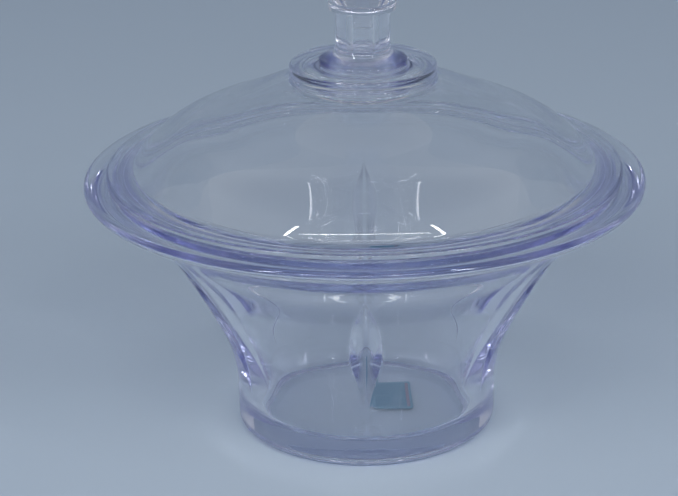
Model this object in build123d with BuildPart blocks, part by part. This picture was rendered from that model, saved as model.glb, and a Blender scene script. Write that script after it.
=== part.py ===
"""Covered bowl in thick clear moulded plastic, with a lift-off domed lid and a cut-style knob.

The bowl flares from a narrow foot to a wide rolled rim and carries six mitre-cut leaves.
The lid rests on the rim by its flange and is centred by a short skirt.  Its crown has a hollow
step with a cored boss inside.  The knob is a flared pedestal welded to the step, with a faceted
finial glued in its bore.
Millimetres, +Z up, origin on the ground in the middle of the foot.
"""
import os
from math import cos, hypot, radians, sin

from build123d import *

# ---- driving dimensions --------------------------------------------------------------------
# bowl
rim_radius = 80.0            # widest point of the rolled rim
rim_top = 76.4               # height of the face that the lid rests on
rim_bead = 1.7               # radius of the rolled edge
mouth_radius = 69.6          # straight neck just inside the rim
mouth_depth = 4.6
foot_radius = 38.0
foot_rounding = 2.4
floor_height = 5.6           # top of the bowl's floor
floor_radius = 30.4
floor_rounding = 3.6
recess_radius = 31.0         # shallow hollow under the foot, which keeps the label off the table
recess_depth = 0.8
edge_rounding = 0.8          # small rounding on the moulded edges

# mitre-cut leaves, each the mark of a wheel with a V edge
leaf_count = 6
leaf_foot = (38.25, 14.6)    # radius and height of the lower tip on the outer wall
leaf_tip = (60.0, 59.6)      # radius and height of the upper tip
leaf_depth = 2.9             # at the middle of the leaf
leaf_wall_sag = 2.9          # how far the flared wall lies behind the line from tip to tip
leaf_half_width = 4.7
wheel_width = 24.0

# lid
lid_gap = 0.5                # all round, between the skirt and the mouth
flange_radius = 73.4
flange_thickness = 2.4
skirt_wall = 2.6
skirt_depth = 4.0
dome_radius = 66.2           # where the dome leaves the flange
dome_wall = 2.6
crown_radius = 21.6          # top of the dome
crown_height = 103.6
step_radius = 20.8           # hollow step on the crown, which carries the knob
step_top = 108.2
step_wall = 2.4
boss_radius = 12.4           # boss under the middle of the step
boss_depth = 7.7             # from the step's top down to the boss's end
core_radius = 7.8            # hollow cored in the boss from below
core_depth = 4.6

# knob pedestal
base_radius = 12.4
base_height = 1.2            # straight edge under the flare
stem_radius = 7.6
stem_top = 123.8
bore_radius = 2.85
bore_floor = 3.4             # the bore stops this far above the step

# finial
finial_sides = 16
collar_radius = 9.5
collar_height = 2.0
pavilion_radius = 8.2        # where the lower facets start, on the collar
girdle_radius = 14.5
table_radius = 7.0
pavilion_height = 10.5       # from the collar up to the girdle
girdle_height = 2.6
cap_height = 6.8             # from the girdle up to the table
spigot_length = 5.0

# label under the floor
label_width = 12.0
label_depth = 19.0
label_thickness = 0.15
label_centre = (8.0, 7.0)
label_corner = 1.5

boss_end = step_top - boss_depth
step_inside = step_radius - step_wall
flare_radius = base_radius - stem_radius
flange_top = rim_top + flange_thickness
os.makedirs("parts", exist_ok=True)


# ---- bowl ----------------------------------------------------------------------------------
outer_wall = [(foot_radius, 11.0), (40.0, 24.0), (45.3, 36.0), (52.0, 48.0), (57.9, 57.0),
              (65.4, 65.3), (72.0, 70.3), (rim_radius - rim_bead, rim_top - 2 * rim_bead)]
inner_wall = [(floor_radius, 12.0), (33.5, 26.1), (39.8, 39.1), (46.9, 51.2), (53.7, 60.1),
              (62.6, 68.5), (mouth_radius, rim_top - mouth_depth)]

with BuildPart() as bowl:
    with BuildSketch(Plane.XZ):
        with BuildLine():
            Polyline((0, recess_depth), (recess_radius, recess_depth),
                     (recess_radius + recess_depth, 0), (foot_radius - foot_rounding, 0))
            RadiusArc((foot_radius - foot_rounding, 0), (foot_radius, foot_rounding), -foot_rounding)
            Line((foot_radius, foot_rounding), outer_wall[0])
            Spline(*outer_wall, tangents=[(0, 1), (1, 0.2)])
            ThreePointArc(outer_wall[-1], (rim_radius, rim_top - rim_bead),
                          (rim_radius - rim_bead, rim_top))
            Line((rim_radius - rim_bead, rim_top), (mouth_radius + edge_rounding, rim_top))
            RadiusArc((mouth_radius + edge_rounding, rim_top),
                      (mouth_radius, rim_top - edge_rounding), -edge_rounding)
            Line((mouth_radius, rim_top - edge_rounding), inner_wall[-1])
            Spline(*inner_wall, tangents=[(0, 1), (1, 0.8)])
            Line(inner_wall[0], (floor_radius, floor_height + floor_rounding))
            RadiusArc((floor_radius, floor_height + floor_rounding),
                      (floor_radius - floor_rounding, floor_height), floor_rounding)
            Polyline((floor_radius - floor_rounding, floor_height), (0, floor_height),
                     (0, recess_depth))
        make_face()
    revolve(axis=Axis.Z)

    # one leaf is a round wheel's cut, as long as the chord from tip to tip
    leaf_length = hypot(leaf_tip[0] - leaf_foot[0], leaf_tip[1] - leaf_foot[1])
    leaf_run = (leaf_tip[0] - leaf_foot[0]) / leaf_length
    leaf_rise = (leaf_tip[1] - leaf_foot[1]) / leaf_length
    leaf_sagitta = leaf_depth + leaf_wall_sag
    wheel_radius = leaf_length**2 / (8 * leaf_sagitta) + leaf_sagitta / 2
    wheel_reach = wheel_radius - leaf_sagitta
    wheel_out = (leaf_foot[0] + leaf_tip[0]) / 2 + leaf_rise * wheel_reach
    wheel_up = (leaf_foot[1] + leaf_tip[1]) / 2 - leaf_run * wheel_reach
    wheel_half = wheel_width / 2
    wheel_shoulder = wheel_radius - wheel_half * leaf_depth / leaf_half_width
    for leaf in range(leaf_count):
        turn = radians(360 / leaf_count * leaf - 90)
        hub = Plane(origin=(wheel_out * cos(turn), wheel_out * sin(turn), wheel_up),
                    x_dir=(-cos(turn), -sin(turn), 0), z_dir=(0, 0, 1))
        with BuildSketch(hub):
            with BuildLine():
                Polyline((wheel_radius, 0), (wheel_shoulder, wheel_half), (0, wheel_half),
                         (0, -wheel_half), (wheel_shoulder, -wheel_half), close=True)
            make_face()
        revolve(axis=Axis(hub.origin, hub.y_dir), mode=Mode.SUBTRACT)
bowl.part.label = "bowl"
export_step(bowl.part, "parts/bowl.step")


# ---- lid -----------------------------------------------------------------------------------
skirt_radius = mouth_radius - lid_gap
dome_outside = [(dome_radius, flange_top), (61.0, 85.4), (52.8, 90.9), (40.0, 96.2),
                (crown_radius, crown_height)]
dome_inside = [(skirt_radius - skirt_wall, rim_top - 1.4), (59.6, 83.0), (51.8, 88.4), (39.2, 93.5),
               (crown_radius - 0.8, crown_height - dome_wall)]

with BuildPart() as lid:
    with BuildSketch(Plane.XZ):
        with BuildLine():
            Line((0, step_top), (step_radius - edge_rounding, step_top))
            RadiusArc((step_radius - edge_rounding, step_top),
                      (step_radius, step_top - edge_rounding), edge_rounding)
            Polyline((step_radius, step_top - edge_rounding), (step_radius, crown_height),
                     dome_outside[-1])
            Spline(*dome_outside, tangents=[(-0.5, 1), (-1, 0.3)])
            Line(dome_outside[0], (flange_radius - edge_rounding, flange_top))
            RadiusArc((flange_radius - edge_rounding, flange_top),
                      (flange_radius, flange_top - edge_rounding), edge_rounding)
            Polyline((flange_radius, flange_top - edge_rounding), (flange_radius, rim_top),
                     (skirt_radius, rim_top), (skirt_radius, rim_top - skirt_depth),
                     (skirt_radius - skirt_wall, rim_top - skirt_depth), dome_inside[0])
            Spline(*dome_inside, tangents=[(-0.4, 1), (-1, 0.3)])
            Polyline(dome_inside[-1], (step_inside, crown_height - dome_wall),
                     (step_inside, step_top - step_wall), (boss_radius, step_top - step_wall),
                     (boss_radius, boss_end), (core_radius, boss_end),
                     (core_radius, boss_end + core_depth), (0, boss_end + core_depth), (0, step_top))
        make_face()
    revolve(axis=Axis.Z)
lid.part.label = "lid"
export_step(lid.part, "parts/lid.step")


# ---- knob pedestal -------------------------------------------------------------------------
with BuildPart() as pedestal:
    with BuildSketch(Plane.XZ):
        with BuildLine():
            Polyline((0, step_top), (base_radius, step_top), (base_radius, step_top + base_height))
            RadiusArc((base_radius, step_top + base_height),
                      (stem_radius, step_top + base_height + flare_radius), flare_radius)
            Polyline((stem_radius, step_top + base_height + flare_radius), (stem_radius, stem_top),
                     (bore_radius, stem_top), (bore_radius, step_top + bore_floor),
                     (0, step_top + bore_floor), (0, step_top))
        make_face()
    revolve(axis=Axis.Z)
pedestal.part.label = "knob_pedestal"
export_step(pedestal.part, "parts/knob_pedestal.step")


# ---- finial --------------------------------------------------------------------------------
pavilion_base = stem_top + collar_height
girdle_base = pavilion_base + pavilion_height
girdle_top = girdle_base + girdle_height
finial_top = girdle_top + cap_height


def facet(radius_low, height_low, radius_high, height_high, turn):
    """Plane of a flat facet that passes through two radii at two heights."""
    rise = height_high - height_low
    run = radius_high - radius_low
    length = hypot(rise, run)
    out, up = rise / length, -run / length
    return Plane(origin=(radius_low * cos(turn), radius_low * sin(turn), height_low),
                 x_dir=(-sin(turn), cos(turn), 0), z_dir=(out * cos(turn), out * sin(turn), up))


with BuildPart() as finial:
    with Locations((0, 0, pavilion_base)):
        Cylinder(girdle_radius, finial_top - pavilion_base, align=(Align.CENTER, Align.CENTER, Align.MIN))
    step = 360 / finial_sides
    for side in range(finial_sides):
        straight = radians(step * side)
        between = radians(step * (side + 0.5))
        split(bisect_by=facet(pavilion_radius, pavilion_base, girdle_radius, girdle_base, straight),
              keep=Keep.BOTTOM)
        split(bisect_by=facet(girdle_radius, girdle_top, table_radius, finial_top, between),
              keep=Keep.BOTTOM)
    with Locations((0, 0, stem_top)):
        Cylinder(collar_radius, collar_height, align=(Align.CENTER, Align.CENTER, Align.MIN))
    with Locations((0, 0, stem_top)):
        Cylinder(bore_radius, spigot_length, align=(Align.CENTER, Align.CENTER, Align.MAX))
finial.part.label = "knob_finial"
export_step(finial.part, "parts/knob_finial.step")


# ---- label ---------------------------------------------------------------------------------
with BuildPart() as label:
    with BuildSketch(Plane.XY.offset(recess_depth - label_thickness)):
        with Locations(label_centre):
            RectangleRounded(label_width, label_depth, label_corner)
    extrude(amount=label_thickness)
label.part.label = "base_label"
export_step(label.part, "parts/base_label.step")

print("bowl", round(bowl.part.volume), "lid", round(lid.part.volume), "finial top", round(finial_top, 1))
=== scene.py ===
"""Looks of a covered bowl in thick clear polystyrene, laid out as an add-on and run as a script.

The bowl, its lid and the knob are turned from their sections in fine meshes, so that light bends
smoothly in them.  The six mitre-cut leaves are the marks of a V-edged wheel, worked into the
bowl's wall.  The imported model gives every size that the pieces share.
"""
import math

import bmesh
import bpy
import numpy as np
from bpy.props import FloatProperty, FloatVectorProperty, IntProperty, PointerProperty, StringProperty
from mathutils import Matrix, Vector


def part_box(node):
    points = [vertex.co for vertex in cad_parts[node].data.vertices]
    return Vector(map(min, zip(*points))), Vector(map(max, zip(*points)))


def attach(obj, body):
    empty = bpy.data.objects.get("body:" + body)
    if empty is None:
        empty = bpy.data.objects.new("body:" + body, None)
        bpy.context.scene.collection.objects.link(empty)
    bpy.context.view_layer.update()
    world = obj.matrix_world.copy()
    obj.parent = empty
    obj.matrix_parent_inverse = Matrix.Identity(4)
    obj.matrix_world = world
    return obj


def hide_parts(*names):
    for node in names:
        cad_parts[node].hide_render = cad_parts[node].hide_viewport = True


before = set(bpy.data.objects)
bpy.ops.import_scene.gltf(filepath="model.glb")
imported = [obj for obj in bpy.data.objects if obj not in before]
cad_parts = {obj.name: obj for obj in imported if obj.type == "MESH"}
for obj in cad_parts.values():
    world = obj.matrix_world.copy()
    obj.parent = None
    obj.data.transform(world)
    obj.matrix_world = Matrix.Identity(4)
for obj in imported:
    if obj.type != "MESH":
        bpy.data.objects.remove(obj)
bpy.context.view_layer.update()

bl_info = {
    "name": "Covered bowl",
    "version": (1, 0, 0),
    "blender": (4, 5, 0),
    "location": "3D View > Sidebar > Covered bowl",
    "description": "Builds a clear covered bowl with mitre-cut leaves and a faceted knob",
    "category": "Add Mesh",
}

MM = 0.001
BOWL_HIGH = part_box("bowl")[1]
LID_LOW, LID_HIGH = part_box("lid")
PEDESTAL_LOW, PEDESTAL_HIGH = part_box("knob_pedestal")
LABEL_LOW, LABEL_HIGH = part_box("base_label")


# ---- settings ------------------------------------------------------------------------------
def length(name, description, default):
    """A length that the sidebar shows in the scene's units; default is in metres."""
    return FloatProperty(name=name, description=description, default=default, min=0.0,
                         precision=5, unit="LENGTH")


def tint(name, description, default):
    """A colour as an sRGB hex value, such as #8FA0AF."""
    return StringProperty(name=name, description=description, default=default, maxlen=7)


class BowlSettings(bpy.types.PropertyGroup):
    rim_radius: length("Rim radius", "Widest point of the rolled rim", BOWL_HIGH.x)
    rim_top: length("Rim top", "Height of the face that the lid rests on", BOWL_HIGH.z)
    rim_bead: length("Rim bead", "Radius of the rolled edge", 1.7 * MM)
    mouth_radius: length("Mouth radius", "Straight neck inside the rim", 69.6 * MM)
    mouth_depth: length("Mouth depth", "How far the straight neck goes down", 4.6 * MM)
    foot_radius: length("Foot radius", "Outside of the foot", 38.0 * MM)
    floor_height: length("Floor height", "Top of the bowl's floor", 5.6 * MM)
    floor_radius: length("Floor radius", "Inside of the wall at the floor", 30.4 * MM)
    recess_radius: length("Recess radius", "Shallow hollow under the foot", 31.0 * MM)
    recess_depth: length("Recess depth", "Depth of that hollow", 0.8 * MM)
    leaf_count: IntProperty(name="Leaves", description="Mitre cuts round the wall", default=6, min=1)
    leaf_depth: length("Leaf depth", "Depth of a cut at its middle", 2.9 * MM)
    leaf_half_width: length("Leaf half width", "Half of a cut's width at that depth", 4.7 * MM)
    leaf_softness: length("Leaf softness", "Rounding that moulding leaves on a cut's edges", 0.15 * MM)


class LidSettings(bpy.types.PropertyGroup):
    flange_radius: length("Flange radius", "Edge of the lid", LID_HIGH.x)
    flange_thickness: length("Flange thickness", "Thickness of the flat edge", 2.4 * MM)
    skirt_gap: length("Skirt gap", "Play between the skirt and the bowl's mouth", 0.5 * MM)
    skirt_wall: length("Skirt wall", "Thickness of the skirt", 2.6 * MM)
    dome_radius: length("Dome radius", "Where the dome leaves the flange", 66.2 * MM)
    dome_wall: length("Dome wall", "Thickness at the crown", 2.6 * MM)
    crown_radius: length("Crown radius", "Top of the dome", 21.6 * MM)
    crown_height: length("Crown height", "Top of the dome, under the step", 103.6 * MM)
    step_radius: length("Step radius", "Hollow step on the crown, which carries the knob", 20.8 * MM)
    step_wall: length("Step wall", "Thickness of the step", 2.4 * MM)
    boss_radius: length("Boss radius", "Boss under the middle of the step", 12.4 * MM)
    boss_depth: length("Boss depth", "From the step's top to the boss's end", 7.7 * MM)
    core_radius: length("Core radius", "Hollow cored in the boss", 7.8 * MM)
    core_depth: length("Core depth", "From the boss's end to the core's top", 4.6 * MM)


class KnobSettings(bpy.types.PropertyGroup):
    base_radius: length("Base radius", "Foot of the pedestal", 12.4 * MM)
    base_height: length("Base height", "Straight edge of that foot", 1.2 * MM)
    stem_radius: length("Stem radius", "Outside of the stem", 7.6 * MM)
    bore_radius: length("Bore radius", "Hole down the stem", 2.85 * MM)
    bore_floor: length("Bore floor", "Height of the bore's end above the foot's face", 3.4 * MM)
    glue_gap: length("Glue gap", "Play round the finial's spigot", 0.1 * MM)
    cut_edge: length("Cut edge", "Soft edge that moulding leaves between two facets", 0.22 * MM)


class FinishSettings(bpy.types.PropertyGroup):
    plastic_tint: tint("Plastic tint", "Colour that light keeps in the plastic", "#7C88D8")
    plastic_density: FloatProperty(name="Tint density", description="Tint per metre of path",
                                   default=6.3, min=0.0)
    label_ground: tint("Label ground", "Main colour of the label", "#3F86A6")
    label_block: tint("Label block", "Block on the label", "#8A7088")
    label_paper: tint("Label paper", "Unprinted border of the label", "#5E9AB4")
    floor_tint: tint("Floor tint", "Colour of the sweep", "#C0CEDC")


class StageSettings(bpy.types.PropertyGroup):
    camera_distance: length("Camera distance", "From the middle of the bowl", 618 * MM)
    camera_elevation: FloatProperty(name="Camera elevation", description="Above the horizon",
                                    default=math.radians(21.36), subtype="ANGLE")
    camera_turn: FloatProperty(name="Camera turn", description="About the vertical",
                               default=math.radians(-0.75), subtype="ANGLE")
    camera_roll: FloatProperty(name="Camera roll", description="Tilt of the horizon",
                               default=math.radians(-0.84), subtype="ANGLE")
    camera_aim: FloatVectorProperty(name="Camera aim", description="Point at the middle of the view",
                                    default=(-7.5 * MM, 0, 52.1 * MM), subtype="TRANSLATION")
    lens: FloatProperty(name="Lens", description="Focal length in millimetres", default=113.0)


# ---- small helpers -------------------------------------------------------------------------
def linear(hex_colour, alpha=1.0):
    """An sRGB hex value as linear light."""
    def channel(start):
        c = int(hex_colour[start:start + 2], 16) / 255
        return c / 12.92 if c <= 0.04045 else ((c + 0.055) / 1.055) ** 2.4
    return (channel(1), channel(3), channel(5), alpha)


def add(tree, kind, values=None, links=None, **settings):
    """One node, with its settings, its sockets' values and the links into it."""
    node = tree.nodes.new(kind)
    for key, value in settings.items():
        setattr(node, key, value)
    for key, value in (values or {}).items():
        node.inputs[key].default_value = value
    for key, source in (links or {}).items():
        tree.links.new(source, node.inputs[key])
    return node


def material(name):
    """A new material with an empty node tree."""
    made = bpy.data.materials.new(name)
    made.use_nodes = True
    made.node_tree.nodes.clear()
    return made, made.node_tree


def curve_through(points, start, end, steps):
    """A smooth line through points, with given directions at its ends: a cubic spline by chord length."""
    p = np.array(points, float)
    t = np.concatenate([[0], np.cumsum(np.hypot(*np.diff(p, axis=0).T))])
    h = np.diff(t)
    size = len(p)
    slope = np.zeros((size, size))
    right = np.zeros((size, 2))
    slope[0, 0] = slope[-1, -1] = 1
    right[0] = np.array(start) / np.hypot(*start)
    right[-1] = np.array(end) / np.hypot(*end)
    for i in range(1, size - 1):
        slope[i, i - 1:i + 2] = h[i], 2 * (h[i - 1] + h[i]), h[i - 1]
        right[i] = 3 * (h[i - 1] * (p[i + 1] - p[i]) / h[i] + h[i] * (p[i] - p[i - 1]) / h[i - 1])
    m = np.linalg.solve(slope, right)
    line = []
    for s in np.linspace(0, t[-1], steps):
        i = min(np.searchsorted(t, s, side="right") - 1, size - 2)
        u = (s - t[i]) / h[i]
        line.append((2 * u**3 - 3 * u**2 + 1) * p[i] + (u**3 - 2 * u**2 + u) * h[i] * m[i]
                    + (3 * u**2 - 2 * u**3) * p[i + 1] + (u**3 - u**2) * h[i] * m[i + 1])
    return [tuple(q) for q in line]


def rounded(corners, steps=4, support=0.6):
    """A line with its corners rounded: each is (radius, height) or (radius, height, rounding).

    A support point stands a little outside each end of a rounding, so that a flat face beside
    it keeps its own normal.
    """
    line = []
    for i, corner in enumerate(corners):
        p = np.array(corner[:2], float)
        rounding = corner[2] if len(corner) > 2 else 0.0
        if not rounding or i in (0, len(corners) - 1):
            line.append(tuple(p))
            continue
        a = np.array(corners[i - 1][:2], float) - p
        b = np.array(corners[i + 1][:2], float) - p
        a_length, b_length = np.hypot(*a), np.hypot(*b)
        a, b = a / a_length, b / b_length
        half = math.acos(max(-1.0, min(1.0, float(a @ b)))) / 2
        reach = min(rounding / math.tan(half), 0.45 * a_length, 0.45 * b_length)
        radius = reach * math.tan(half)
        middle = p + (a + b) / np.hypot(*(a + b)) * radius / math.sin(half)
        start, end = p + a * reach - middle, p + b * reach - middle
        first = math.atan2(start[1], start[0])
        sweep = (math.atan2(end[1], end[0]) - first + math.pi) % math.tau - math.pi
        if reach * (1 + support) < 0.5 * a_length:
            line.append(tuple(p + a * reach * (1 + support)))
        for k in range(steps + 1):
            angle = first + sweep * k / steps
            line.append(tuple(middle + radius * np.array((math.cos(angle), math.sin(angle)))))
        if reach * (1 + support) < 0.5 * b_length:
            line.append(tuple(p + b * reach * (1 + support)))
    return line


def mesh_from_rings(name, rings, low_pole, high_pole, whole=True):
    """A mesh from rings of points that run from low_pole round to high_pole.

    rings is an array of rows x columns x 3.  Each pole is a point on the axis.  A sector's
    rings, where whole is false, don't close on themselves.
    """
    rows, columns = rings.shape[:2]
    points = np.vstack([rings.reshape(-1, 3), [low_pole], [high_pole]])
    low, high = rows * columns, rows * columns + 1
    here = np.arange(rows * columns).reshape(rows, columns)
    there = np.roll(here, -1, axis=1)
    if not whole:
        here, there = here[:, :-1], there[:, :-1]
        columns -= 1
    quads = np.stack([here[:-1], there[:-1], there[1:], here[1:]], axis=-1).reshape(-1, 4)
    first = np.stack([np.full(columns, low), there[0], here[0]], axis=-1)
    last = np.stack([np.full(columns, high), here[-1], there[-1]], axis=-1)
    mesh = bpy.data.meshes.new(name)
    mesh.from_pydata(points.tolist(), [], quads.tolist() + first.tolist() + last.tolist())
    mesh.shade_smooth()
    return mesh


def repeat_tree():
    """Geometry nodes that repeat one sector round the axis and close the seams."""
    name = "repeat_round_axis"
    if name in bpy.data.node_groups:
        return bpy.data.node_groups[name]
    tree = bpy.data.node_groups.new(name, "GeometryNodeTree")
    for port, kind in (("Sector", "NodeSocketGeometry"), ("Count", "NodeSocketInt"),
                       ("Seam", "NodeSocketFloat"), ("Finish", "NodeSocketMaterial")):
        tree.interface.new_socket(port, in_out="INPUT", socket_type=kind)
    tree.interface.new_socket("Piece", in_out="OUTPUT", socket_type="NodeSocketGeometry")
    given = add(tree, "NodeGroupInput").outputs
    one = add(tree, "GeometryNodeGeometryToInstance", links={"Geometry": given["Sector"]})
    copies = add(tree, "GeometryNodeDuplicateElements",
                 links={"Geometry": one.outputs[0], "Amount": given["Count"]}, domain="INSTANCE")
    share = add(tree, "ShaderNodeMath", {0: math.tau}, {1: given["Count"]}, operation="DIVIDE")
    angle = add(tree, "ShaderNodeMath", links={0: copies.outputs["Duplicate Index"],
                                               1: share.outputs[0]}, operation="MULTIPLY")
    spin = add(tree, "ShaderNodeCombineXYZ", links={"Z": angle.outputs[0]})
    spun = add(tree, "GeometryNodeRotateInstances",
               links={"Instances": copies.outputs["Geometry"], "Rotation": spin.outputs[0]})
    real = add(tree, "GeometryNodeRealizeInstances", links={"Geometry": spun.outputs[0]})
    joined = add(tree, "GeometryNodeMergeByDistance",
                 links={"Geometry": real.outputs[0], "Distance": given["Seam"]})
    painted = add(tree, "GeometryNodeSetMaterial",
                  links={"Geometry": joined.outputs[0], "Material": given["Finish"]})
    add(tree, "NodeGroupOutput", links={"Piece": painted.outputs[0]})
    return tree


def repeated(name, sector, count, seam, finish):
    """One closed mesh of a sector repeated count times round the axis."""
    tree = repeat_tree()
    holder = bpy.data.objects.new(name + "_sector", sector)
    bpy.context.scene.collection.objects.link(holder)
    modifier = holder.modifiers.new("repeat", "NODES")
    modifier.node_group = tree
    for port in tree.interface.items_tree:
        if port.in_out == "INPUT" and port.name != "Sector":
            modifier[port.identifier] = {"Count": count, "Seam": seam, "Finish": finish}[port.name]
    ready = bpy.context.evaluated_depsgraph_get()
    mesh = bpy.data.meshes.new_from_object(holder.evaluated_get(ready), depsgraph=ready)
    mesh.name = name
    bpy.data.objects.remove(holder)
    return closed_outwards(mesh)


def closed_outwards(mesh):
    """Turn every face outwards, and stop if the mesh isn't closed."""
    built = bmesh.new()
    built.from_mesh(mesh)
    bmesh.ops.recalc_face_normals(built, faces=built.faces)
    open_edges = sum(not edge.is_manifold for edge in built.edges)
    built.to_mesh(mesh)
    built.free()
    if open_edges:
        raise RuntimeError(f"{mesh.name} has {open_edges} open edges")
    return mesh


def turned(name, section, segments):
    """A solid turned from its section, a line of (radius, height) that starts and ends on the axis."""
    angles = np.linspace(0, math.tau, segments, endpoint=False)
    rows = [(r * np.cos(angles), r * np.sin(angles), np.full(segments, z)) for r, z in section[1:-1]]
    rings = np.array(rows).transpose(0, 2, 1)
    return closed_outwards(mesh_from_rings(name, rings, (0, 0, section[0][1]),
                                           (0, 0, section[-1][1])))


def place(mesh, name, body, slot, finish, *nodes):
    """The finished piece: its material, the body it rides on and the CAD nodes it stands for."""
    piece = bpy.data.objects.new(name, mesh)
    bpy.context.scene.collection.objects.link(piece)
    mesh.materials.clear()
    mesh.materials.append(finish)
    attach(piece, body)
    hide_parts(*nodes)
    return piece


# ---- materials -----------------------------------------------------------------------------
def clear_polystyrene(settings):
    """General-purpose polystyrene, injection moulded in a polished tool.

    Its index of 1.59 gives strong edges and bright flashes.  A violet toner, added to hide the
    resin's yellow, shows only where light runs a long way in it: rim, foot and cut edges.
    Flow in the tool leaves long shallow waves, and handling leaves faint dull patches.
    """
    name = "moulded_clear_polystyrene"
    if name in bpy.data.materials:
        return bpy.data.materials[name]
    made, tree = material(name)
    place_on = add(tree, "ShaderNodeTexCoord")
    wave_size = 18 * MM
    waves = add(tree, "ShaderNodeTexNoise", {"Scale": 1 / wave_size, "Detail": 1.0},
                {"Vector": place_on.outputs["Object"]})
    handling_size = 9 * MM
    handling = add(tree, "ShaderNodeTexNoise", {"Scale": 1 / handling_size, "Detail": 5.0,
                                                "Roughness": 0.6},
                   {"Vector": place_on.outputs["Object"]})
    dullness = add(tree, "ShaderNodeMapRange", {"From Min": 0.45, "From Max": 0.8,
                                                "To Min": 0.006, "To Max": 0.025},
                   {"Value": handling.outputs["Fac"]})
    bump = add(tree, "ShaderNodeBump", {"Strength": 0.25, "Distance": 0.12 * MM},
               {"Height": waves.outputs["Fac"]})
    shader = add(tree, "ShaderNodeBsdfPrincipled",
                 {"Base Color": (1, 1, 1, 1), "IOR": 1.59, "Transmission Weight": 1.0},
                 {"Roughness": dullness.outputs["Result"], "Normal": bump.outputs["Normal"]})
    toner = add(tree, "ShaderNodeVolumeAbsorption",
                {"Color": linear(settings.plastic_tint), "Density": settings.plastic_density})
    add(tree, "ShaderNodeOutputMaterial", links={"Surface": shader.outputs["BSDF"],
                                                 "Volume": toner.outputs["Volume"]})
    return made


def printed_label(settings):
    """A printed paper label under clear film: a teal ground with a red block and a bare border."""
    made, tree = material("printed_paper_label")
    place_on = add(tree, "ShaderNodeTexCoord")
    centre = (LABEL_LOW + LABEL_HIGH) / 2
    width = LABEL_HIGH.x - LABEL_LOW.x
    depth = LABEL_HIGH.y - LABEL_LOW.y
    # runs from -1 to 1 across the label both ways
    across = add(tree, "ShaderNodeMapping",
                 {"Location": (-2 * centre.x / width, -2 * centre.y / depth, 0),
                  "Scale": (2 / width, 2 / depth, 1)}, {"Vector": place_on.outputs["Object"]})
    part = add(tree, "ShaderNodeSeparateXYZ", links={"Vector": across.outputs["Vector"]})
    block = add(tree, "ShaderNodeMath", {1: 0.7}, {0: part.outputs["X"]}, operation="GREATER_THAN")
    side = add(tree, "ShaderNodeMath", links={0: part.outputs["X"]}, operation="ABSOLUTE")
    end = add(tree, "ShaderNodeMath", links={0: part.outputs["Y"]}, operation="ABSOLUTE")
    edge = add(tree, "ShaderNodeMath", links={0: side.outputs[0], 1: end.outputs[0]},
               operation="MAXIMUM")
    border = add(tree, "ShaderNodeMath", {1: 0.86}, {0: edge.outputs[0]}, operation="GREATER_THAN")
    fibre_size = 0.4 * MM
    fibre = add(tree, "ShaderNodeTexNoise", {"Scale": 1 / fibre_size, "Detail": 3.0},
                {"Vector": place_on.outputs["Object"]})
    print_colour = add(tree, "ShaderNodeMix", {"A": linear(settings.label_ground),
                                               "B": linear(settings.label_block)},
                       data_type="RGBA")
    tree.links.new(block.outputs[0], print_colour.inputs["Factor"])
    framed = add(tree, "ShaderNodeMix", {"B": linear(settings.label_paper)}, data_type="RGBA")
    tree.links.new(border.outputs[0], framed.inputs["Factor"])
    tree.links.new(print_colour.outputs["Result"], framed.inputs["A"])
    bump = add(tree, "ShaderNodeBump", {"Strength": 0.15, "Distance": 0.03 * MM},
               {"Height": fibre.outputs["Fac"]})
    shader = add(tree, "ShaderNodeBsdfPrincipled", {"Roughness": 0.4, "IOR": 1.5},
                 {"Base Color": framed.outputs["Result"], "Normal": bump.outputs["Normal"]})
    add(tree, "ShaderNodeOutputMaterial", links={"Surface": shader.outputs["BSDF"]})
    return made


def matt_sweep(settings):
    """A roll of matt background paper, pale blue grey, with a faint grain."""
    made, tree = material("matt_paper_sweep")
    place_on = add(tree, "ShaderNodeTexCoord")
    grain = add(tree, "ShaderNodeTexNoise", {"Scale": 1 / (3 * MM), "Detail": 4.0},
                {"Vector": place_on.outputs["Object"]})
    bump = add(tree, "ShaderNodeBump", {"Strength": 0.1, "Distance": 0.05 * MM},
               {"Height": grain.outputs["Fac"]})
    shader = add(tree, "ShaderNodeBsdfPrincipled",
                 {"Base Color": linear(settings.floor_tint), "Roughness": 0.9},
                 {"Normal": bump.outputs["Normal"]})
    add(tree, "ShaderNodeOutputMaterial", links={"Surface": shader.outputs["BSDF"]})
    return made


# ---- the bowl ------------------------------------------------------------------------------
FOOT_ROUNDING = 2.4 * MM
FLOOR_ROUNDING = 3.6 * MM
EDGE_ROUNDING = 0.8 * MM
LEAF_FOOT = (38.25 * MM, 14.6 * MM)   # radius and height of a leaf's lower tip
LEAF_TIP = (60.0 * MM, 59.6 * MM)
LEAF_WALL_SAG = 2.9 * MM     # how far the flared wall lies behind the line from tip to tip
DRY_GAP = 0.04 * MM          # air between two pieces that only touch, which light can tell
WELD_SINK = 0.3 * MM         # how far the welded foot reaches into the lid


def outer_wall(s):
    """The bowl's outside from the top of its foot up to the rim's bead."""
    points = [(s.foot_radius, 11 * MM), (40 * MM, 24 * MM), (45.3 * MM, 36 * MM), (52 * MM, 48 * MM),
              (57.9 * MM, 57 * MM), (65.4 * MM, 65.3 * MM), (72 * MM, 70.3 * MM),
              (s.rim_radius - s.rim_bead, s.rim_top - 2 * s.rim_bead)]
    return curve_through(points, (0, 1), (1, 0.2), 96)


def inner_wall(s):
    """The bowl's inside from the floor's rounding up to the neck; the wall thins on the way."""
    points = [(s.floor_radius, 12 * MM), (33.5 * MM, 26.1 * MM), (39.8 * MM, 39.1 * MM),
              (46.9 * MM, 51.2 * MM), (53.7 * MM, 60.1 * MM), (62.6 * MM, 68.5 * MM),
              (s.mouth_radius, s.rim_top - s.mouth_depth)]
    return curve_through(points, (0, 1), (1, 0.8), 48)


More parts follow.
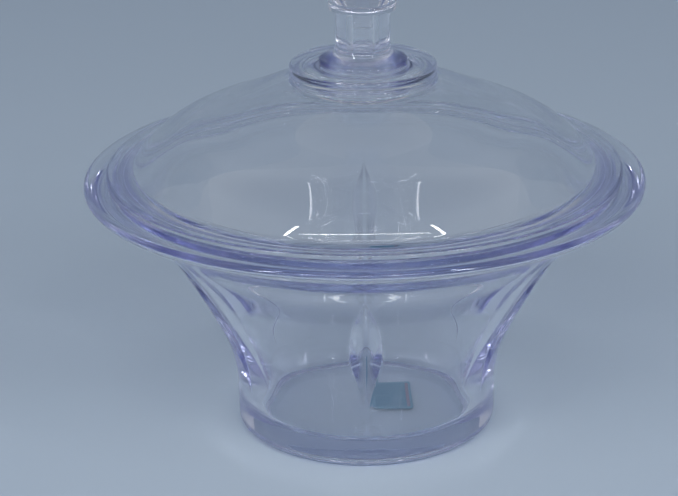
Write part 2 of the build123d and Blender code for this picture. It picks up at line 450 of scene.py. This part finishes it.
def bowl_section(s):
    """The bowl's section from the middle of its underside, out and up the wall and back in."""
    foot_edge = s.recess_radius + s.recess_depth
    under = rounded([(0, s.recess_depth), (s.recess_radius, s.recess_depth, 0.5 * MM),
                     (foot_edge, 0, 0.5 * MM), (s.foot_radius, 0, FOOT_ROUNDING),
                     (s.foot_radius, 11 * MM)], 6)[:-1]
    bead = [(s.rim_radius - s.rim_bead + s.rim_bead * math.cos(a),
             s.rim_top - s.rim_bead + s.rim_bead * math.sin(a))
            for a in np.linspace(-math.pi / 2, math.pi / 2, 15)][1:]
    neck = rounded([(s.rim_radius - s.rim_bead, s.rim_top), (s.mouth_radius, s.rim_top, EDGE_ROUNDING),
                    (s.mouth_radius, s.rim_top - s.mouth_depth)], 6)[1:-1]
    inside = rounded([(s.floor_radius, 12 * MM), (s.floor_radius, s.floor_height, FLOOR_ROUNDING),
                      (0, s.floor_height)], 10)[1:]
    return under + outer_wall(s) + bead + neck + inner_wall(s)[::-1] + inside


class CuttingWheel:
    """The V-edged wheel that a leaf is cut with, seen in the plane through the bowl's axis."""

    def __init__(self, s):
        run, rise = LEAF_TIP[0] - LEAF_FOOT[0], LEAF_TIP[1] - LEAF_FOOT[1]
        chord = math.hypot(run, rise)
        sagitta = s.leaf_depth + LEAF_WALL_SAG
        self.radius = chord**2 / (8 * sagitta) + sagitta / 2
        reach = self.radius - sagitta
        self.out = (LEAF_FOOT[0] + LEAF_TIP[0]) / 2 + rise / chord * reach
        self.up = (LEAF_FOOT[1] + LEAF_TIP[1]) / 2 - run / chord * reach
        self.slope = s.leaf_depth / s.leaf_half_width
        self.softness = s.leaf_softness

    def rim(self, side):
        """The wheel's radius at a distance to the side of its middle plane."""
        nose = self.softness
        return self.radius - self.slope * (np.sqrt(side**2 + nose**2) - nose)

    def bite(self, radius, height, angle):
        """How far the wheel's edge is past a point of the wall; positive inside the cut."""
        away = np.hypot(radius * np.cos(angle) - self.out, height - self.up)
        return self.rim(radius * np.sin(angle)) - away

    def half_angle(self, radius, height):
        """The half angle that a leaf spans at a row of the wall, or 0 above and below it."""
        if self.bite(radius, height, 0.0) <= 0:
            return 0.0
        low, high = 0.0, math.radians(25)
        for _ in range(30):
            middle = (low + high) / 2
            low, high = (middle, high) if self.bite(radius, height, middle) > 0 else (low, middle)
        return low

    def press(self, radius, height, angle):
        """Where the wall ends up: pushed away from the wheel's axle, with soft edges."""
        x, y = radius * np.cos(angle), radius * np.sin(angle)
        away = np.hypot(x - self.out, height - self.up)
        edge = self.rim(y)
        gap = away - edge
        pushed = (away + edge + np.sqrt(gap**2 + (self.softness / 2) ** 2)) / 2
        fade = np.clip(1 - (gap - 1 * MM) / (3 * MM), 0, 1)
        factor = 1 + (pushed / away - 1) * fade
        return self.out + (x - self.out) * factor, y, self.up + (height - self.up) * factor


def leaf_angles(half, sector, inside, outside):
    """Angles from the middle of a leaf to the edge of its sector, close together at its edge."""
    within = half * np.sin(np.linspace(0, math.pi / 2, inside, endpoint=False))
    step = np.linspace(0, 1, outside)
    return np.concatenate([within, half + (sector - half) * step**1.7])


def bowl_sector(s, inside=9, outside=17):
    """One leaf's share of the bowl, with columns that follow the edges of the leaf."""
    wheel = CuttingWheel(s)
    section = bowl_section(s)
    wall = outer_wall(s)
    wall_start = section.index(wall[0])
    sector = math.pi / s.leaf_count
    least, rest = math.radians(0.35), sector / 3
    spread = 9 * MM
    rings = []
    for row, (r, z) in enumerate(section[1:-1], start=1):
        on_wall = wall_start <= row < wall_start + len(wall)
        beyond = max(LEAF_FOOT[1] - z, z - LEAF_TIP[1], 0.0) if on_wall else spread
        t = min(beyond / spread, 1.0)
        open_out = least + (rest - least) * t * t * (3 - 2 * t)
        half = max(wheel.half_angle(r, z) if on_wall else 0.0, open_out)
        fan = leaf_angles(half, sector, inside, outside)
        fan = np.concatenate([-fan[:0:-1], fan])
        if on_wall:
            x, y, height = wheel.press(r, z, fan)
        else:
            x, y, height = r * np.cos(fan), r * np.sin(fan), np.full(len(fan), z)
        rings.append(np.stack([y, -x, height], axis=-1))
    return mesh_from_rings("bowl_sector", np.array(rings), (0, 0, section[0][1]),
                           (0, 0, section[-1][1]), whole=False)


class COVERED_OT_bowl(bpy.types.Operator):
    """Make the bowl, with its rolled rim and mitre-cut leaves"""
    bl_idname = "covered.bowl"
    bl_label = "Bowl"

    def execute(self, context):
        s = context.scene.covered_bowl
        finish = clear_polystyrene(context.scene.covered_finish)
        seam = 0.002 * MM    # points of two sectors nearer than this are one point
        mesh = repeated("bowl_moulding", bowl_sector(s), s.leaf_count, seam, finish)
        mesh.shade_smooth()
        place(mesh, "bowl_moulding", "bowl", "clear_moulding", finish, "bowl")
        return {"FINISHED"}


# ---- the lid -------------------------------------------------------------------------------
ROOT_ROUNDING = 2.0 * MM     # inside corners of the step and the boss


def lid_section(bowl, s):
    """The lid's section from the middle of its top, out over the dome and back underneath."""
    seat = bowl.rim_top + DRY_GAP
    flange_top = bowl.rim_top + s.flange_thickness
    crown, top = s.crown_height, LID_HIGH.z
    skirt = bowl.mouth_radius - s.skirt_gap
    skirt_end = LID_LOW.z
    skirt_inside = skirt - s.skirt_wall
    step_inside = s.step_radius - s.step_wall
    boss_end = top - s.boss_depth
    over = curve_through([(s.dome_radius, flange_top), (61 * MM, 85.4 * MM), (52.8 * MM, 90.9 * MM),
                          (40 * MM, 96.2 * MM), (s.crown_radius, crown)], (-0.5, 1), (-1, 0.3), 40)
    under = curve_through([(skirt_inside, seat - 1.4 * MM), (59.6 * MM, 83 * MM), (51.8 * MM, 88.4 * MM),
                           (39.2 * MM, 93.5 * MM), (s.crown_radius - 0.8 * MM, crown - s.dome_wall)],
                          (-0.4, 1), (-1, 0.3), 40)
    edge = rounded([(s.dome_radius, flange_top), (s.flange_radius, flange_top, EDGE_ROUNDING),
                    (s.flange_radius, seat, 0.3 * MM), (skirt, seat, 0.4 * MM),
                    (skirt, skirt_end, 0.6 * MM), (skirt_inside, skirt_end, 0.6 * MM),
                    (skirt_inside, seat - 1.4 * MM)], 5)
    step = rounded([(0, top), (s.step_radius, top, EDGE_ROUNDING), (s.step_radius, crown, 0.3 * MM),
                    (s.crown_radius, crown)], 6)[:-1]
    boss = rounded([(s.crown_radius - 0.8 * MM, crown - s.dome_wall),
                    (step_inside, crown - s.dome_wall, 1.5 * MM),
                    (step_inside, top - s.step_wall, ROOT_ROUNDING),
                    (s.boss_radius, top - s.step_wall, ROOT_ROUNDING),
                    (s.boss_radius, boss_end, 0.5 * MM), (s.core_radius, boss_end, 0.5 * MM),
                    (s.core_radius, boss_end + s.core_depth, 0.6 * MM),
                    (0, boss_end + s.core_depth)], 5)[1:]
    return step + over[::-1] + edge[1:-1] + under + boss


class COVERED_OT_lid(bpy.types.Operator):
    """Make the domed lid with its flange and centring skirt"""
    bl_idname = "covered.lid"
    bl_label = "Lid"

    def execute(self, context):
        scene = context.scene
        mesh = turned("lid_moulding", lid_section(scene.covered_bowl, scene.covered_lid), 256)
        place(mesh, "lid_moulding", "lid", "clear_moulding", clear_polystyrene(scene.covered_finish),
              "lid")
        return {"FINISHED"}


# ---- the knob ------------------------------------------------------------------------------
def pedestal_section(s):
    """The pedestal's section from the end of its bore, up and over and down to its foot.

    The foot sinks a little into the lid, because the weld leaves no face for light to meet.
    """
    bottom, top = PEDESTAL_LOW.z - WELD_SINK, PEDESTAL_HIGH.z - DRY_GAP
    base_top = PEDESTAL_LOW.z + s.base_height
    root_radius = s.base_radius - s.stem_radius
    root = [(s.base_radius - root_radius * math.sin(a), base_top + root_radius * (1 - math.cos(a)))
            for a in np.linspace(math.pi / 2, 0, 13)]
    bore_end = PEDESTAL_LOW.z + s.bore_floor
    soft = 0.4 * MM
    upper = rounded([(0, bore_end), (s.bore_radius, bore_end, soft), (s.bore_radius, top, soft / 2),
                     (s.stem_radius, top, soft), root[0]], 4)[:-1]
    return upper + root + [(s.base_radius, bottom), (0, bottom)]


class COVERED_OT_pedestal(bpy.types.Operator):
    """Make the knob's flared foot and hollow stem"""
    bl_idname = "covered.pedestal"
    bl_label = "Knob pedestal"

    def execute(self, context):
        scene = context.scene
        mesh = turned("knob_pedestal_moulding", pedestal_section(scene.covered_knob), 160)
        place(mesh, "knob_pedestal_moulding", "lid", "clear_moulding",
              clear_polystyrene(scene.covered_finish), "knob_pedestal")
        return {"FINISHED"}


def cut_finial(s):
    """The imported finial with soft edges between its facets, and a spigot loose in its bore."""
    built = bmesh.new()
    built.from_mesh(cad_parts["knob_finial"].data)
    bmesh.ops.remove_doubles(built, verts=built.verts, dist=0.001 * MM)
    bmesh.ops.dissolve_limit(built, angle_limit=math.radians(0.5), verts=built.verts,
                             edges=built.edges)
    for vert in built.verts:
        if vert.co.z < PEDESTAL_HIGH.z - DRY_GAP:
            vert.co.xy *= 1 - s.glue_gap / s.bore_radius
    sharp = [edge for edge in built.edges
             if edge.is_manifold and edge.calc_face_angle() > math.radians(14)]
    bmesh.ops.bevel(built, geom=sharp, offset=s.cut_edge, segments=2, profile=0.5, affect="EDGES",
                    clamp_overlap=True)
    mesh = bpy.data.meshes.new("knob_finial_cut")
    built.to_mesh(mesh)
    built.free()
    return closed_outwards(mesh)


class COVERED_OT_finial(bpy.types.Operator):
    """Make the faceted finial with its collar and spigot"""
    bl_idname = "covered.finial"
    bl_label = "Knob finial"

    def execute(self, context):
        scene = context.scene
        place(cut_finial(scene.covered_knob), "knob_finial_cut", "lid", "clear_moulding",
              clear_polystyrene(scene.covered_finish), "knob_finial")
        return {"FINISHED"}


def label_mesh():
    """A thin label with round corners, a hair below the recess that it is stuck in."""
    centre = (LABEL_LOW + LABEL_HIGH) / 2
    half = (LABEL_HIGH - LABEL_LOW) / 2
    corner, thin = 1.5 * MM, 0.1 * MM
    corner_points = 32
    built = bmesh.new()
    ring = []
    for k in range(corner_points):
        a = math.tau * (k + 0.5) / corner_points
        x = math.copysign(half.x - corner, math.cos(a)) + corner * math.cos(a)
        y = math.copysign(half.y - corner, math.sin(a)) + corner * math.sin(a)
        ring.append(built.verts.new((centre.x + x, centre.y + y, LABEL_LOW.z)))
    face = built.faces.new(ring)
    lifted = bmesh.ops.extrude_face_region(built, geom=[face])
    bmesh.ops.translate(built, vec=(0, 0, thin),
                        verts=[v for v in lifted["geom"] if isinstance(v, bmesh.types.BMVert)])
    mesh = bpy.data.meshes.new("base_label_print")
    built.to_mesh(mesh)
    built.free()
    return closed_outwards(mesh)


class COVERED_OT_label(bpy.types.Operator):
    """Make the printed label under the bowl's floor"""
    bl_idname = "covered.label"
    bl_label = "Base label"

    def execute(self, context):
        place(label_mesh(), "base_label_print", "bowl", "printed_label",
              printed_label(context.scene.covered_finish), "base_label")
        return {"FINISHED"}


# ---- the stage -----------------------------------------------------------------------------
# the studio's light by height, from the horizon (0) to straight up (1)
AIR_HEIGHTS = ((0.0, "#B4BDCE"), (0.35, "#E6ECF4"), (0.7, "#E6ECF4"), (1.0, "#9AA4B8"))


def soft_box(name, where, aim, width, height, power):
    """A white area light that faces a point."""
    lamp = bpy.data.lights.new(name, "AREA")
    lamp.shape = "RECTANGLE"
    lamp.size, lamp.size_y = width, height
    lamp.energy = power
    holder = bpy.data.objects.new(name, lamp)
    holder.location = where
    holder.rotation_mode = "QUATERNION"
    holder.rotation_quaternion = (Vector(aim) - Vector(where)).to_track_quat("-Z", "Y")
    bpy.context.scene.collection.objects.link(holder)


def sweep(settings):
    """The floor and its curved rise behind the object, as one smooth strip."""
    half_width, front, back, bend, top = 2.4, -1.6, 1.5, 0.9, 2.4
    line = [(front, -DRY_GAP)]
    line += [(back - bend + bend * math.sin(a), bend - bend * math.cos(a) - DRY_GAP)
             for a in np.linspace(0, math.pi / 2, 24)]
    line.append((back, top))
    points = [(x, y, z) for y, z in line for x in (-half_width, half_width)]
    faces = [(2 * i, 2 * i + 1, 2 * i + 3, 2 * i + 2) for i in range(len(line) - 1)]
    mesh = bpy.data.meshes.new("sweep")
    mesh.from_pydata(points, [], faces)
    mesh.shade_smooth()
    mesh.materials.append(matt_sweep(settings))
    floor = bpy.data.objects.new("sweep", mesh)
    bpy.context.scene.collection.objects.link(floor)


class COVERED_OT_stage(bpy.types.Operator):
    """Make the sweep, the lights and the camera"""
    bl_idname = "covered.stage"
    bl_label = "Stage"

    def execute(self, context):
        scene = context.scene
        s = scene.covered_stage
        sweep(scene.covered_finish)
        middle = (0, 0, 0.06)
        # slim tubes round an opening, as a window's frame or a light box's edges
        for x, up, width, height in ((-0.75, 0.0, 0.03, 0.8), (0.75, 0.0, 0.03, 0.8),
                                     (0.0, 0.4, 1.5, 0.02), (0.0, -0.4, 1.5, 0.02)):
            where = (x, -0.85 - up * 0.5, 0.85 + up * 0.85)
            soft_box("frame_tube", where, middle, width, height, 2.0)
        world = bpy.data.worlds.new("studio_air")
        world.use_nodes = True
        tree = world.node_tree
        heading = add(tree, "ShaderNodeTexCoord")
        part = add(tree, "ShaderNodeSeparateXYZ", links={"Vector": heading.outputs["Generated"]})
        air = add(tree, "ShaderNodeValToRGB", links={"Fac": part.outputs["Z"]})
        air.color_ramp.interpolation = "EASE"
        for at, colour in AIR_HEIGHTS[1:-1]:
            air.color_ramp.elements.new(at)
        for stop, (at, colour) in zip(air.color_ramp.elements, AIR_HEIGHTS):
            stop.position, stop.color = at, linear(colour)
        tree.links.new(air.outputs["Color"], tree.nodes["Background"].inputs["Color"])
        tree.nodes["Background"].inputs["Strength"].default_value = 0.51
        scene.world = world
        scene.view_settings.view_transform = "Standard"
        # light runs round in the rim and the knob's step many times; cut short, it leaves them black
        scene.cycles.max_bounces = 256
        scene.cycles.transmission_bounces = 256
        scene.cycles.glossy_bounces = 256
        scene.cycles.diffuse_bounces = 8
        # blurring after a matt bounce would darken the floor that shows through the plastic
        scene.cycles.blur_glossy = 0.0

        aim = Vector(s.camera_aim)
        level, turn = s.camera_elevation, s.camera_turn
        ahead = Vector((math.sin(turn) * math.cos(level), math.cos(turn) * math.cos(level),
                        -math.sin(level)))
        lens = bpy.data.cameras.new("camera")
        lens.lens = s.lens
        lens.clip_start, lens.clip_end = 0.05, 20
        camera = bpy.data.objects.new("camera", lens)
        spin = Matrix.Rotation(-s.camera_roll, 4, ahead)
        look = ahead.to_track_quat("-Z", "Y").to_matrix().to_4x4()
        camera.matrix_world = Matrix.Translation(aim - ahead * s.camera_distance) @ spin @ look
        scene.collection.objects.link(camera)
        scene.camera = camera
        return {"FINISHED"}


# ---- add-on --------------------------------------------------------------------------------
OPERATORS = (COVERED_OT_stage, COVERED_OT_bowl, COVERED_OT_lid, COVERED_OT_pedestal,
             COVERED_OT_finial, COVERED_OT_label)
SETTINGS = {"covered_bowl": BowlSettings, "covered_lid": LidSettings, "covered_knob": KnobSettings,
            "covered_finish": FinishSettings, "covered_stage": StageSettings}


class COVERED_PT_panel(bpy.types.Panel):
    """Lists the pieces and their settings"""
    bl_idname = "COVERED_PT_panel"
    bl_label = "Covered bowl"
    bl_space_type = "VIEW_3D"
    bl_region_type = "UI"
    bl_category = "Covered bowl"

    def draw(self, context):
        for operator in OPERATORS:
            self.layout.operator(operator.bl_idname)
        for name, group in SETTINGS.items():
            box = self.layout.box()
            box.label(text=group.__name__)
            for prop in group.__annotations__:
                box.prop(getattr(context.scene, name), prop)


def register():
    for name, group in SETTINGS.items():
        bpy.utils.register_class(group)
        setattr(bpy.types.Scene, name, PointerProperty(type=group))
    for operator in OPERATORS:
        bpy.utils.register_class(operator)
    bpy.utils.register_class(COVERED_PT_panel)


def unregister():
    bpy.utils.unregister_class(COVERED_PT_panel)
    for operator in reversed(OPERATORS):
        bpy.utils.unregister_class(operator)
    for name, group in reversed(SETTINGS.items()):
        delattr(bpy.types.Scene, name)
        bpy.utils.unregister_class(group)


def main():
    register()
    for operator in OPERATORS:
        name = operator.bl_idname.split(".")[1]
        getattr(bpy.ops.covered, name)()


if __name__ == "__main__":
    main()
